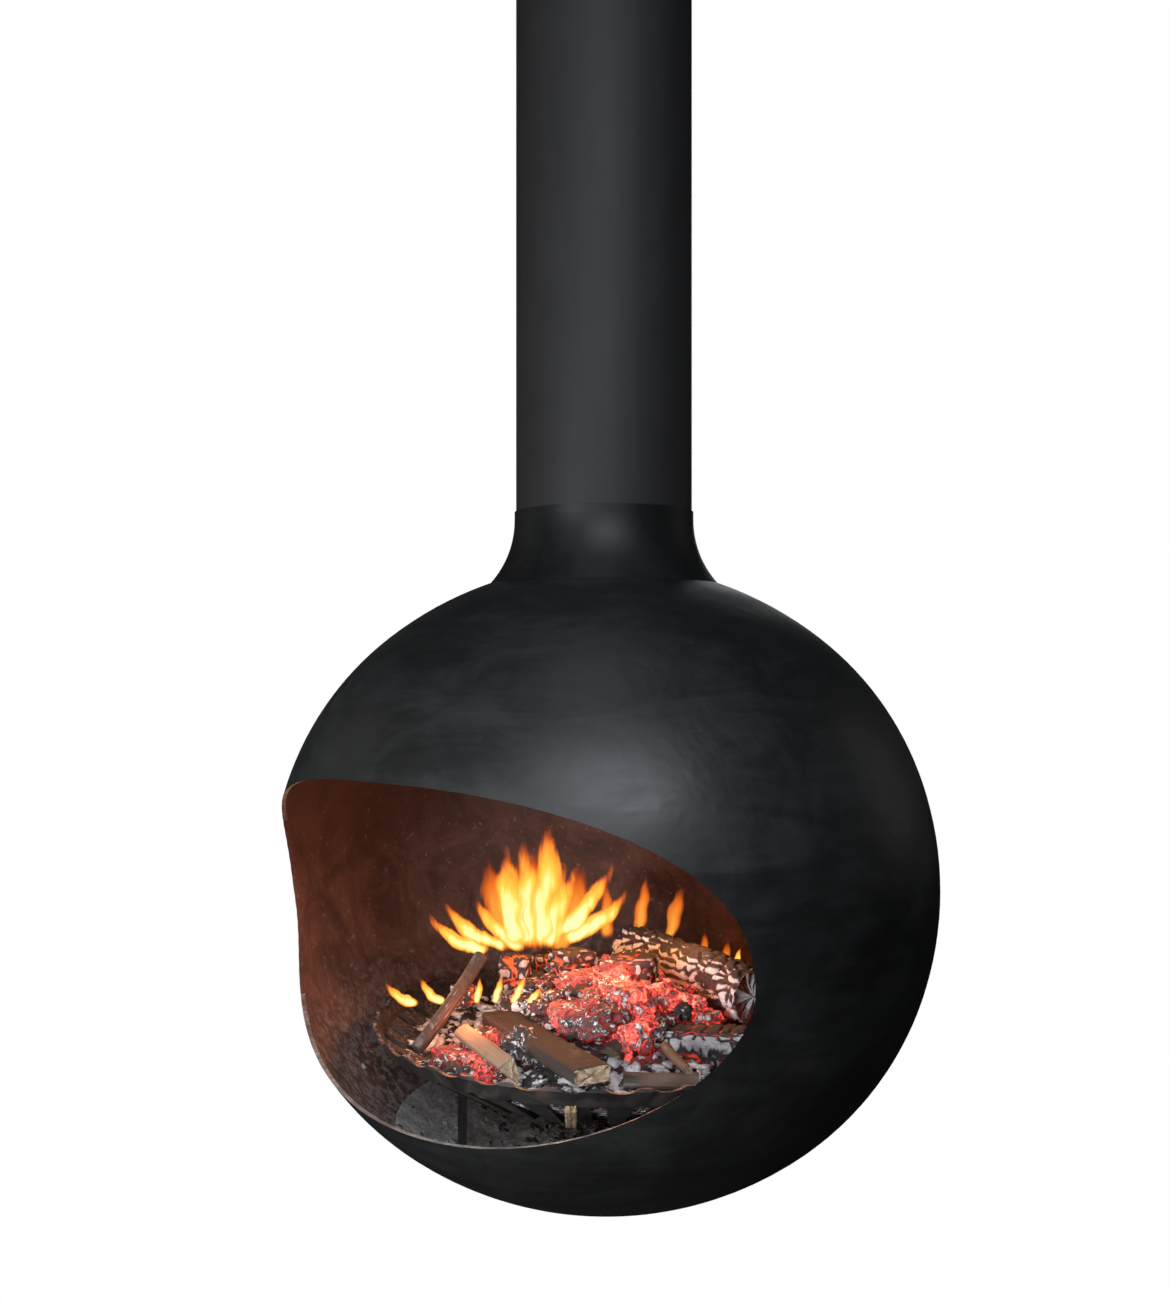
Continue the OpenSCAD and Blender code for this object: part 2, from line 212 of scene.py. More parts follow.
def globe_steel():
    """Waxed black patina outside, rust and soot inside, a ground edge round the mouth."""
    p = Paint("globe_patina")
    at = p.place()
    from_centre = p.vector_math("SUBTRACT", at, tuple(CENTRE))
    face = p.node("ShaderNodeSeparateXYZ", Vector=p.uv("face"))
    inside, edge = face.outputs["X"], face.outputs["Y"]
    height = p.node("ShaderNodeSeparateXYZ", Vector=from_centre).outputs["Z"]

    broad = p.noise(at, 3.2, 5, 0.6, 0.6)
    cloud = p.noise(at, 9, 7, 0.62, 1.4)
    fine = p.noise(at, 130, 4, 0.6)
    wiped = p.noise(p.stretch(at, (7, 7, 30)), 1.0, 6, 0.62, 0.9)
    scratch = p.noise(p.stretch(at, (90, 60, 420)), 1.0, 3, 0.5, 1.5)
    blotch = p.math("ADD", p.math("MULTIPLY", cloud, 0.5), p.math("MULTIPLY", wiped, 0.5))
    outer = p.ramp(blotch, (0.32, (0.0052, 0.0054, 0.0054)), (0.48, (0.0085, 0.0087, 0.0086)),
                   (0.6, (0.0135, 0.0137, 0.0137)), (0.74, (0.021, 0.0213, 0.022)))
    outer = p.mix(p.step(broad, 0.52, 0.74, 0.0, 0.3), outer, (0.013, 0.011, 0.0085))
    outer = p.mix(p.step(fine, 0.68, 0.78, 0.0, 0.3), outer, (0.03, 0.03, 0.032))
    outer = p.mix(p.step(scratch, 0.7, 0.76, 0.0, 0.4), outer, (0.05, 0.05, 0.052))
    outer_rough = p.step(blotch, 0.34, 0.68, 0.4, 0.54)

    rust = p.noise(at, 13, 8, 0.68, 0.8)
    speck = p.noise(at, 95, 5, 0.7)
    flake = p.noise(at, 48, 6, 0.75, 1.0)
    inner = p.ramp(rust, (0.28, (0.028, 0.0145, 0.011)), (0.46, (0.08, 0.037, 0.027)),
                   (0.6, (0.135, 0.068, 0.052)), (0.76, (0.2, 0.125, 0.105)))
    inner = p.mix(p.step(speck, 0.6, 0.7, 0.0, 0.5), inner, (0.34, 0.3, 0.28))
    inner = p.mix(p.step(flake, 0.58, 0.66, 0.0, 0.6), inner, (0.025, 0.018, 0.016))
    soot_line = p.math("ADD", height, p.math("MULTIPLY", rust, 0.14))
    inner = p.mix(p.step(soot_line, 0.0, 0.2, 0.0, 0.86), inner, (0.03, 0.0115, 0.0075))
    dusty = p.math("MULTIPLY", p.step(soot_line, -0.04, -0.2), p.step(speck, 0.44, 0.6))
    inner = p.mix(p.math("MULTIPLY", dusty, 0.7), inner, (0.3, 0.285, 0.275))

    ground = p.ramp(p.noise(p.stretch(at, (60, 60, 420)), 1.0, 3, 0.6),
                    (0.35, (0.3, 0.285, 0.27)), (0.65, (0.6, 0.58, 0.55)))
    ground = p.mix(p.step(cloud, 0.45, 0.62, 0.0, 0.7), ground, (0.09, 0.07, 0.06))
    p.set(Base_Color=p.mix(edge, p.mix(inside, outer, inner), ground))
    rough = p.math("ADD", p.math("MULTIPLY", inside, 0.42), outer_rough)
    p.set(Roughness=rough, Metallic=p.math("MULTIPLY", edge, 0.6))
    p.shader.inputs["Specular IOR Level"].default_value = 0.62
    wave = p.bump(broad, 0.3, 0.012)
    skin = p.bump(blotch, 0.16, 0.0016, wave)
    scale = p.math("ADD", p.math("MULTIPLY", fine, p.math("ADD", p.math("MULTIPLY", inside, 1.6), 0.18)),
                   p.math("MULTIPLY", p.math("MULTIPLY", rust, inside), 2.0))
    p.set(Normal=p.bump(scale, 0.5, 0.0009, skin))
    return p.material


def black_paint(name, base, rough, mottle):
    """Satin or matt heat-proof paint with faint mottling."""
    p = Paint(name)
    at = p.place()
    cloud = p.noise(at, 9, 6, 0.6, 0.7)
    grain = p.noise(at, 900, 2, 0.5)
    wiped = p.noise(p.stretch(at, (26, 26, 5)), 1.0, 5, 0.6, 0.5)
    low = tuple(c * (1 - mottle) for c in base)
    high = tuple(c * (1 + mottle) for c in base)
    tone = p.math("ADD", p.math("MULTIPLY", cloud, 0.5), p.math("MULTIPLY", wiped, 0.5))
    colour = p.ramp(tone, (0.35, low), (0.65, high))
    p.set(Base_Color=p.mix(p.step(grain, 0.62, 0.8, 0.0, 0.2), colour, (0.06, 0.058, 0.056)))
    p.set(Roughness=p.step(tone, 0.3, 0.7, rough - 0.06, rough + 0.06))
    p.set(Normal=p.bump(grain, 0.12, 0.0003, p.bump(cloud, 0.1, 0.002)))
    p.shader.inputs["Specular IOR Level"].default_value = 0.3
    return p.material


def bare_metal(name, low, high, rough, metallic=1.0, grain=(6, 6, 300)):
    """Plated or turned metal with fine turning marks and stains."""
    p = Paint(name)
    at = p.place()
    lines = p.noise(p.stretch(at, grain), 1.0, 3, 0.6)
    stain = p.noise(at, 38, 5, 0.6, 0.5)
    tone = p.math("ADD", p.math("MULTIPLY", lines, 0.45), p.math("MULTIPLY", stain, 0.55))
    p.set(Base_Color=p.ramp(tone, (0.35, low), (0.65, high)), Metallic=metallic)
    p.set(Roughness=p.step(stain, 0.3, 0.7, rough - 0.08, rough + 0.12))
    p.set(Normal=p.bump(lines, 0.15, 0.0002))
    return p.material


def basket_iron():
    """Black mill scale with rust where the fire reaches and ash dust on top."""
    p = Paint("basket_scale")
    at = p.place()
    cloud = p.noise(at, 22, 6, 0.65, 0.8)
    fine = p.noise(at, 240, 4, 0.65)
    up = p.node("ShaderNodeSeparateXYZ",
                Vector=p.node("ShaderNodeNewGeometry").outputs["Normal"]).outputs["Z"]
    colour = p.ramp(cloud, (0.34, (0.012, 0.0115, 0.012)), (0.54, (0.026, 0.023, 0.022)),
                    (0.72, (0.075, 0.038, 0.026)))
    ash = p.math("MULTIPLY", p.step(up, 0.35, 0.9), p.step(fine, 0.45, 0.62))
    p.set(Base_Color=p.mix(p.math("MULTIPLY", ash, 0.5), colour, (0.28, 0.26, 0.25)))
    p.set(Roughness=p.step(cloud, 0.35, 0.7, 0.42, 0.8), Metallic=0.25)
    p.set(Normal=p.bump(fine, 0.35, 0.0006, p.bump(cloud, 0.25, 0.0015)))
    return p.material


def fibre_rope():
    p = Paint("fibre_rope")
    at = p.place()
    braid = p.cells(p.stretch(at, (1, 1, 1.6)), 420)
    p.set(Base_Color=p.ramp(braid, (0.1, (0.62, 0.59, 0.52)), (0.6, (0.85, 0.83, 0.78))))
    p.set(Roughness=0.9, Normal=p.bump(braid, 0.6, 0.0006))
    return p.material


def wood(name, low, high, streak, char=0.0, ash=0.0):
    """Wood with its grain along the piece, burnt black and ash-edged to the given amounts."""
    p = Paint(name)
    grain = p.uv("grain")
    at = p.place()
    raised = p.surface("raised")
    fibres = p.noise(p.stretch(grain, (230, 14, 1)), 1.0, 6, 0.65, 0.6)
    bands = p.noise(p.stretch(grain, (46, 5, 1)), 1.0, 4, 0.6, 1.0)
    patch = p.noise(at, 34, 5, 0.62, 0.6)
    tone = p.math("ADD", p.math("MULTIPLY", fibres, 0.5), p.math("MULTIPLY", bands, 0.5))
    colour = p.ramp(tone, (0.32, low), (0.52, tuple((a + b) / 2 for a, b in zip(low, high))),
                    (0.68, high))
    colour = p.mix(p.step(fibres, 0.56, 0.7, 0.0, 0.5), colour, streak)
    black = p.math("ADD", p.step(patch, 0.62 - 0.5 * char, 0.78 - 0.42 * char), 0.0, clamp=True)
    black = p.math("MULTIPLY", black, min(1.0, 0.35 + char))
    colour = p.mix(black, colour, (0.014, 0.012, 0.0115))
    white = p.math("MULTIPLY", p.step(raised, 0.42, 0.72), p.step(patch, 0.62 - 0.35 * ash, 0.72))
    white = p.math("MULTIPLY", white, ash)
    colour = p.mix(white, colour, p.ramp(fibres, (0.3, (0.3, 0.29, 0.285)),
                                         (0.7, (0.72, 0.7, 0.69))))
    p.set(Base_Color=colour, Roughness=p.step(tone, 0.3, 0.7, 0.66, 0.9))
    p.set(Normal=p.bump(fibres, 0.55, 0.0012, p.bump(patch, 0.3, 0.002)))
    return p.material


def end_grain(name, low, high):
    """The cut or snapped end of a piece of wood."""
    p = Paint(name)
    at = p.place()
    rings = p.noise(at, 210, 5, 0.7, 1.6)
    patch = p.noise(at, 60, 4, 0.6)
    colour = p.ramp(rings, (0.34, low), (0.62, high))
    p.set(Base_Color=p.mix(p.step(patch, 0.55, 0.75, 0.0, 0.6), colour, (0.05, 0.035, 0.025)))
    p.set(Roughness=0.85, Normal=p.bump(rings, 0.7, 0.0015))
    return p.material


def char(name, lit_side_limit, ash_and_lit_side_tone, glow_strength, ash_and_lit_side_from):
    """Cracked charcoal: pale on the sides of its blocks, partly ash and partly painted light; black
    above, which is painted shade; glow deep in cracks.
    """
    p = Paint(name)
    at = p.place()
    raised = p.surface("raised")
    heat = p.surface("heat")
    fine = p.noise(at, 260, 5, 0.7)
    patch = p.noise(at, 42, 5, 0.6, 0.5)
    colour = p.ramp(fine, (0.35, (0.008, 0.0078, 0.008)), (0.7, (0.035, 0.034, 0.036)))
    lean = p.node("ShaderNodeSeparateXYZ",
                  Vector=p.node("ShaderNodeNewGeometry").outputs["Normal"]).outputs["Z"]
    # Painted light and shade: faces that look sideways turn pale, partly ash and partly painted light
    # where light comes in through the mouth; faces that look up stay black as painted shade.
    side = p.step(p.math("ADD", lean, p.math("MULTIPLY", patch, 0.5)), lit_side_limit + 0.35, lit_side_limit)
    side = p.math("MULTIPLY", side, p.step(patch, 0.28, 0.42))
    ash = p.math("MULTIPLY", p.step(raised, *ash_and_lit_side_from), side)
    colour = p.mix(p.math("MULTIPLY", ash, 0.92), colour,
                   p.ramp(fine, (0.3, tuple(0.4 * c for c in ash_and_lit_side_tone)), (0.7, ash_and_lit_side_tone)))
    glow = p.math("MULTIPLY", p.math("SUBTRACT", 1.0, p.step(raised, 0.02, 0.22)),
                  p.math("MULTIPLY", heat, p.step(patch, 0.38, 0.6)), clamp=True)
    p.set(Base_Color=colour, Roughness=0.8)
    p.set(Emission_Color=p.ramp(glow, (0.0, (0.0, 0.0, 0.0)), (0.3, (0.5, 0.02, 0.004)),
                                (0.7, (1.0, 0.16, 0.02)), (1.0, (1.0, 0.5, 0.12))))
    p.shader.inputs["Emission Strength"].default_value = glow_strength
    p.set(Normal=p.bump(fine, 0.6, 0.001))
    return p.material


def ember():
    """Glowing coals under a broken skin of white ash."""
    p = Paint("ember_glow")
    at = p.place()
    heat = p.surface("heat")
    fine = p.noise(at, 190, 6, 0.7, 0.4)
    mid = p.noise(at, 62, 5, 0.65, 0.9)
    cracks = p.cells(at, 95, "DISTANCE_TO_EDGE")
    skin = p.math("ADD", p.math("MULTIPLY", mid, 0.55), p.math("MULTIPLY", fine, 0.45))
    white = p.step(skin, 0.53, 0.58)
    colour = p.ramp(fine, (0.3, (0.012, 0.01, 0.01)), (0.55, (0.05, 0.04, 0.04)),
                    (0.75, (0.16, 0.14, 0.135)))
    colour = p.mix(white, colour, p.ramp(mid, (0.35, (0.42, 0.38, 0.375)), (0.7, (0.82, 0.79, 0.78))))
    hot = p.math("MULTIPLY", heat, p.step(skin, 0.57, 0.42))
    edge_glow = p.math("MULTIPLY", p.step(cracks, 0.14, 0.02), heat)
    glow = p.math("ADD", p.math("MULTIPLY", hot, 0.9), p.math("MULTIPLY", edge_glow, 0.3), clamp=True)
    p.set(Base_Color=colour, Roughness=0.85)
    p.set(Emission_Color=p.ramp(glow, (0.1, (0.0, 0.0, 0.0)), (0.3, (0.22, 0.01, 0.008)),
                                (0.55, (0.72, 0.045, 0.034)), (0.8, (1.0, 0.15, 0.1)),
                                (1.0, (1.0, 0.42, 0.26))))
    p.shader.inputs["Emission Strength"].default_value = 1.2
    p.set(Normal=p.bump(fine, 0.6, 0.0014, p.bump(cracks, 0.5, 0.002)))
    p.material.cycles.emission_sampling = "NONE"
    return p.material


def ash(name, dark, pale, scale=170):
    p = Paint(name)
    at = p.place()
    fine = p.noise(at, scale, 6, 0.72)
    mid = p.noise(at, scale / 5, 5, 0.6, 0.7)
    tone = p.math("ADD", p.math("MULTIPLY", fine, 0.6), p.math("MULTIPLY", mid, 0.4))
    p.set(Base_Color=p.ramp(tone, (0.36, dark), (0.5, tuple((a + b) / 2 for a, b in zip(dark, pale))),
                            (0.62, pale)))
    p.set(Roughness=0.95, Normal=p.bump(fine, 0.7, 0.0015))
    return p.material


def flame(name, top, core, edge, strength, thin):
    """Light that thins out to nothing at a tongue's sides and tip."""
    p = Paint(name)
    split = p.node("ShaderNodeSeparateXYZ", Vector=p.uv("tongue"))
    across, along = split.outputs["X"], split.outputs["Y"]
    at = p.place()
    lick = p.noise(p.stretch(at, (75, 75, 11)), 1.0, 4, 0.55, 1.1)
    side = p.math("SUBTRACT", 1.0, p.math("POWER", p.math("ABSOLUTE", across), 1.7))
    fade = p.math("MULTIPLY", p.step(along, 1.02, 0.5), p.step(along, -0.02, 0.14))
    ragged = p.math("ADD", p.math("MULTIPLY", side, fade),
                    p.math("MULTIPLY", p.math("SUBTRACT", lick, 0.5), 1.1), clamp=True)
    heat = p.math("MULTIPLY", ragged, p.step(along, 1.25, 0.1, 0.25, 1.0))
    light = p.node("ShaderNodeEmission", Strength=strength)
    between = tuple((a + b) / 2 for a, b in zip(edge, core))
    p.put(light.inputs["Color"], p.ramp(heat, (0.08, edge), (0.32, between), (0.58, core),
                                        (0.88, top)))
    clear = p.node("ShaderNodeBsdfTransparent")
    both = p.nodes.new("ShaderNodeMixShader")
    p.put(both.inputs[0], p.step(ragged, 0.06, 0.75, 0.0, thin))
    p.put(both.inputs[1], clear.outputs[0])
    p.put(both.inputs[2], light.outputs[0])
    p.put(p.output.inputs["Surface"], both.outputs[0])
    p.nodes.remove(p.shader)
    p.material.cycles.emission_sampling = "NONE"
    return p.material


# ---- mesh helpers ----


def add_piece(name, verts, faces, materials, body, replaces=(), indices=None):
    mesh = bpy.data.meshes.new(name)
    mesh.from_pydata([tuple(v) for v in verts], [], [tuple(int(i) for i in f) for f in faces])
    for material in materials:
        mesh.materials.append(material)
    if indices is not None:
        mesh.polygons.foreach_set("material_index", np.asarray(indices, np.int32))
    mesh.polygons.foreach_set("use_smooth", np.full(len(mesh.polygons), True))
    mesh.update()
    piece = bpy.data.objects.new(name, mesh)
    bpy.context.scene.collection.objects.link(piece)
    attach(piece, body)
    if replaces:
        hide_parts(*replaces)
    return piece


def corner_map(piece, name, values):
    """A UV layer filled from one (u, v) for each vertex."""
    layer = piece.data.uv_layers.new(name=name)
    loops = np.zeros(len(piece.data.loops), np.int32)
    piece.data.loops.foreach_get("vertex_index", loops)
    layer.data.foreach_set("uv", np.asarray(values, np.float32)[loops].ravel())


def points_of(node):
    mesh = frame["nodes"][node].data
    found = np.zeros(len(mesh.vertices) * 3)
    mesh.vertices.foreach_get("co", found)
    return found.reshape(-1, 3)


def fit_box(points):
    """Centre, unit axes (longest first) and half sizes of a straight piece."""
    middle = (points.max(0) + points.min(0)) / 2
    unique = np.unique(np.round(points, 6), axis=0)
    _, _, axes = np.linalg.svd(unique - unique.mean(0), full_matrices=False)
    local = (unique - middle) @ axes.T
    centre = middle + ((local.max(0) + local.min(0)) / 2) @ axes
    if axes[0] @ np.array([1.0, -0.4, 0.1]) < 0:
        axes[0] *= -1
    axes[2] = np.cross(axes[0], axes[1])
    return centre, axes, (local.max(0) - local.min(0)) / 2


def islands(node):
    """Each separate solid of a node, as its points."""
    points = np.round(points_of(node), 5)
    unique, index = np.unique(points, axis=0, return_inverse=True)
    parent = list(range(len(unique)))

    def root(i):
        while parent[i] != i:
            parent[i] = parent[parent[i]]
            i = parent[i]
        return i

    for polygon in frame["nodes"][node].data.polygons:
        first = root(int(index.ravel()[polygon.vertices[0]]))
        for vertex in polygon.vertices[1:]:
            parent[root(int(index.ravel()[vertex]))] = first
    groups = {}
    for i in range(len(unique)):
        groups.setdefault(root(i), []).append(unique[i])
    return [np.array(group) for _, group in sorted(groups.items())]


CRACK_SLOPE = 3.2


def crackle(place_at, scale):
    """0 in the cracks between blocks of char, rising to 1 on their faces."""
    distances, _ = noise.voronoi(Vector(place_at) * scale)
    return min(1.0, (distances[1] - distances[0]) * CRACK_SLOPE)


# ---- globe ----

SIDE_C, SIDE_LIMIT = (0.0075, 0.0), math.radians(17.5)
SHOULDER_C, SHOULDER_LIMIT = (0.0375, 0.0095), math.radians(51.6)
CROWN_C = (0.0, -0.0378)


def profile_normal(x, y, z):
    """The way the globe's face points at a place, from the arcs that its profile follows."""
    r, h = math.hypot(x, y), z - CENTRE.z
    lean = math.atan2(abs(h), r - SIDE_C[0])
    if lean > SIDE_LIMIT:
        lean = math.atan2(abs(h) - SHOULDER_C[1], r - SHOULDER_C[0])
    if lean > SHOULDER_LIMIT:
        lean = math.atan2(abs(h) - CROWN_C[1], r)
    flat = math.cos(lean) / max(r, 1e-6)
    return Vector((x * flat, y * flat, math.copysign(math.sin(lean), h)))


FACE_LIMIT = 0.7  # faces that look less squarely out or in than this are the cut edge
SEAM_GAP = 1e-5


def make_globe(material):
    """Both half globes as one skin, shaded from the true profile so that no band or seam shows."""
    verts, faces = [], []
    for node in ("globe_upper", "globe_lower"):
        mesh = frame["nodes"][node].data
        base = len(verts)
        verts += [v.co.copy() for v in mesh.vertices]
        for polygon in mesh.polygons:
            seam = all(abs(verts[base + i].z - CENTRE.z) < SEAM_GAP for i in polygon.vertices)
            if not seam:
                faces.append([base + i for i in polygon.vertices])
    piece = add_piece("globe_shell", verts, faces, [material], "fire_globe",
                      ("globe_upper", "globe_lower"))
    mesh = piece.data
    normals, marks = [], []
    for polygon in mesh.polygons:
        facing = polygon.normal.dot((polygon.center - CENTRE).normalized())
        edge = abs(facing) < FACE_LIMIT
        for i in polygon.vertices:
            marks.append((0.0 if edge or facing > 0 else 1.0, 1.0 if edge else 0.0))
            if edge:
                normals.append(polygon.normal)
            else:
                normals.append(profile_normal(*mesh.vertices[i].co) * math.copysign(1, facing))
    mesh.normals_split_custom_set(normals)
    mesh.uv_layers.new(name="face").data.foreach_set("uv", np.asarray(marks, np.float32).ravel())


LOWER_TREE = BVHTree.FromObject(frame["nodes"]["globe_lower"], bpy.context.evaluated_depsgraph_get())


def steel_height(x, y):
    """Height of the globe's inner face under a place."""
    hit = LOWER_TREE.ray_cast(Vector((x, y, CENTRE.z - 0.01)), Vector((0, 0, -1)))[0]
    return hit.z if hit else CENTRE.z


# ---- wood ----


def round_section(angle):
    return math.cos(angle), math.sin(angle)


def square_section(angle, power=7.0):
    c, s = math.cos(angle), math.sin(angle)
    return (math.copysign(abs(c) ** (2 / power), c), math.copysign(abs(s) ** (2 / power), s))


def wedge_section(angle):
    """A quarter-split billet: two split faces and one of bark."""
    c, s = square_section(angle, 5.0)
    return c, s * (0.62 + 0.38 * c)


END_ROOM = 0.985  # a piece of wood stops this share of the way to its CAD node's ends
END_DEPTH = 0.25  # how deep its ends are worn, as a share of its thickness
END_RINGS = (0.0, 0.35, 0.7, 0.93)
SMALLEST_RING = 0.02


def timber(name, node, section, materials, *, rings=70, around=56, rough=0.05,
           crack=0.0, crack_scale=60.0, bend=0.0, taper=0.0, heat=0.0, seed=1.0):
    """A piece of firewood in the space of a CAD node, with fibres along it and rough ends."""
    centre, axes, half = fit_box(points_of(node))
    drift = Vector((seed * 7.1, seed * 3.7, seed * 1.3))
    size = (half[1] + half[2]) / 2
    verts, raised, grain, faces, kinds = [], [], [], [], []

    def ring(t, scale, end):
        for k in range(around):
            angle = 2 * math.pi * k / around
            u, v = section(angle)
            narrow = 1 - taper * (t + 1) / 2
            long_wave = noise.noise(Vector((t * half[0] * 9, u * 0.8, v * 0.8)) + drift)
            fibre = noise.noise(Vector((t * half[0] * 16, u * 7, v * 7)) + drift)
            at = (t * half[0] + seed, u * half[1], v * half[2])
            block = crackle(at, crack_scale) if crack else 1.0
            lift = rough * (long_wave * 1.2 + fibre * 0.7) - crack * (1 - block)
            shrink = (1 - rough * 1.5 + lift) * narrow * scale
            sway = bend * half[0] * (1 - t * t)
            tip = 0.0
            if end:
                lumps = noise.noise(Vector((u * scale * 5, v * scale * 5, seed)) + drift)
                tip = end * size * END_DEPTH * (lumps - 0.3)
                tip = min(0.0, tip) if end > 0 else max(0.0, tip)
            verts.append(centre + axes[0] * (t * half[0] * END_ROOM + tip)
                         + axes[1] * (u * half[1] * shrink + sway) + axes[2] * (v * half[2] * shrink))
            raised.append(max(0.0, min(1.0, 0.65 + fibre * 0.6 + long_wave * 0.5 - (1 - block) * 0.6)))
            grain.append((k / around * 2 * math.pi * size, t * half[0]))

    for scale in END_RINGS:
        ring(-1, max(scale, SMALLEST_RING), -1)
    for i in range(rings):
        ring(-1 + 2 * i / (rings - 1), 1.0, 0)
    for scale in reversed(END_RINGS):
        ring(1, max(scale, SMALLEST_RING), 1)
    total = len(verts) // around
    for i in range(total - 1):
        end = i < len(END_RINGS) or i >= total - 1 - len(END_RINGS)
        for k in range(around):
            j = (k + 1) % around
            faces.append((i * around + k, i * around + j, (i + 1) * around + j, (i + 1) * around + k))
            kinds.append(1 if end else 0)
    faces.append(tuple(range(around - 1, -1, -1)))
    faces.append(tuple((total - 1) * around + k for k in range(around)))
    kinds += [1, 1]
    piece = add_piece(name, verts, faces, materials, "fire_basket", (node,), kinds)
    corner_map(piece, "surface", [(height, heat) for height in raised])
    corner_map(piece, "grain", grain)
    return piece


# ---- lumps: charcoal, coals, flakes and grit ----


def lump_points(subdivisions):
    """Points and faces of a ball of triangles, the start of every lump."""
    mesh = bmesh.new()
    bmesh.ops.create_icosphere(mesh, subdivisions=subdivisions, radius=1.0)
    points = np.array([v.co[:] for v in mesh.verts])
    faces = np.array([[v.index for v in f.verts] for f in mesh.faces])
    mesh.free()
    return points, faces


BALLS = {n: lump_points(n) for n in (1, 2, 3, 4)}


def block_shape(points, power):
    """Pushes a ball's points out towards a box, as broken coal has flat faces."""
    reach = (np.abs(points) ** power).sum(1) ** (1 / power)
    return points / reach[:, None]


def heap(name, spots, material, body, *, detail=2, power=5.0, rough=0.16, cell=2.2,
         replaces=(), seed=3):
    """Many lumps in one piece. Each spot is (place, half sizes, turn matrix, heat)."""
    ball, ball_faces = BALLS[detail]
    start = block_shape(ball, power)
    rng = np.random.default_rng(seed)
    verts, faces, raised, heats = [], [], [], []
    for spot, half, turn, heat in spots:
        drift = Vector(rng.uniform(-50, 50, 3))
        waves = np.array([noise.noise(Vector(p) * cell + drift) for p in start])
        blocks = np.array([crackle(Vector(p) + drift, 1.5) for p in start])
        scale = 1 + rough * waves * 1.6 - rough * 1.3 * (1 - blocks)
        local = start * scale[:, None] * np.asarray(half)
        faces.append(ball_faces + sum(len(v) for v in verts))
        verts.append(local @ np.array(turn).T + np.asarray(spot))
        raised.append(np.clip(0.5 + waves * 0.6 - (1 - blocks) * 0.8 + 0.15, 0, 1))
        heats.append(np.full(len(start), heat))
    piece = add_piece(name, np.concatenate(verts), np.concatenate(faces), [material], body,
                      replaces)
    corner_map(piece, "surface", np.stack([np.concatenate(raised), np.concatenate(heats)], 1))
    return piece


def random_turn(rng, tilt=1.0):
    axis = Vector(rng.normal(size=3)).normalized()
    return Matrix.Rotation(rng.uniform(0, 2 * math.pi), 3, "Z") @ Matrix.Rotation(
        rng.uniform(-tilt, tilt), 3, axis)


# ---- ember bed ----

BED_TREE = BVHTree.FromObject(frame["nodes"]["ember_bed"], bpy.context.evaluated_depsgraph_get())
FIRE_HEART = place(0.03, 0.035, -CENTRE.z)
LEFT_HEART = place(-0.125, 0.11, -CENTRE.z)
FIRE_REACH, LEFT_REACH = 0.1, 0.055
BED_SINK = 0.006  # the skin lies this far under the CAD bed, so that lumps stay within it
BED_FLOOR = 0.002
BED_FOOT = 0.74  # the bowl's flat foot, as a share of its width


def bed_height(x, y):
    """The bed's surface: the CAD bed, sunk where the wood lies thin on the left."""
    hit = BED_TREE.ray_cast(Vector((x, y, BED_HIGH.z + 0.1)), Vector((0, 0, -1)))[0]
    top = hit.z if hit else BED_LOW.z + 0.02
    spot = Vector((x, y, 0))
    right = spot.dot(RIGHT)
    left_share = min(1.0, max(0.0, (-right - 0.09) / 0.1))
    floor = BED_LOW.z + 0.006 + 0.35 * max(0.0, spot.length - 0.175)
    return top * (1 - left_share) + min(top, floor + 0.012) * left_share


def heat_at(x, y):
    """How hot the bed is: hottest in the middle and by the sticks on the left."""
    spot = Vector((x, y, 0))
    patch = 0.35 * noise.noise(Vector((x * 22, y * 22, 2)))
    hot = max(1.45 - (spot - FIRE_HEART).length / FIRE_REACH,
              1.4 - (spot - LEFT_HEART).length / LEFT_REACH)
    return max(0.0, min(1.0, hot + patch))


def make_bed(material):
    """The heap's skin, a height field over the bowl with small lumps all over."""
    rings, around = 64, 150
    edge = BED_HIGH.x - 0.001
    verts, heat, raised, faces = [], [], [], []
    for i in range(rings):
        r = edge * (i + 0.02) / (rings - 1 + 0.02)
        for k in range(around):
            a = 2 * math.pi * k / around
            x, y = r * math.cos(a), r * math.sin(a)
            rough = noise.noise(Vector((x, y, 0)) * 55) * 0.006
            rough += noise.noise(Vector((x, y, 3)) * 140) * 0.003
            low = noise.noise(Vector((x, y, 9)) * 20) * 0.008
            fade = 1 - (i / (rings - 1)) ** 6
            z = bed_height(x, y) - BED_SINK + (rough + low) * fade
            verts.append((x, y, max(z, BED_LOW.z + BED_FLOOR)))
            heat.append(heat_at(x, y) * 0.6)
            raised.append(0.5 + rough * 60)
    for i in range(rings - 1):
        for k in range(around):
            j = (k + 1) % around
            faces.append((i * around + k, (i + 1) * around + k, (i + 1) * around + j, i * around + j))
    faces.append(tuple(range(around)))
    last = (rings - 1) * around
    base = len(verts)
    for k in range(around):
        x, y, _ = verts[last + k]
        verts.append((x * BED_FOOT, y * BED_FOOT, BED_LOW.z + BED_FLOOR / 2))
        heat.append(0.0)
        raised.append(0.5)
    for k in range(around):
        j = (k + 1) % around
        faces.append((last + k, base + k, base + j, last + j))
    faces.append(tuple(base + k for k in range(around - 1, -1, -1)))
    piece = add_piece("ember_bed_surface", verts, faces, [material], "fire_basket",
                      ("ember_bed",))
    corner_map(piece, "surface", list(zip(raised, heat)))


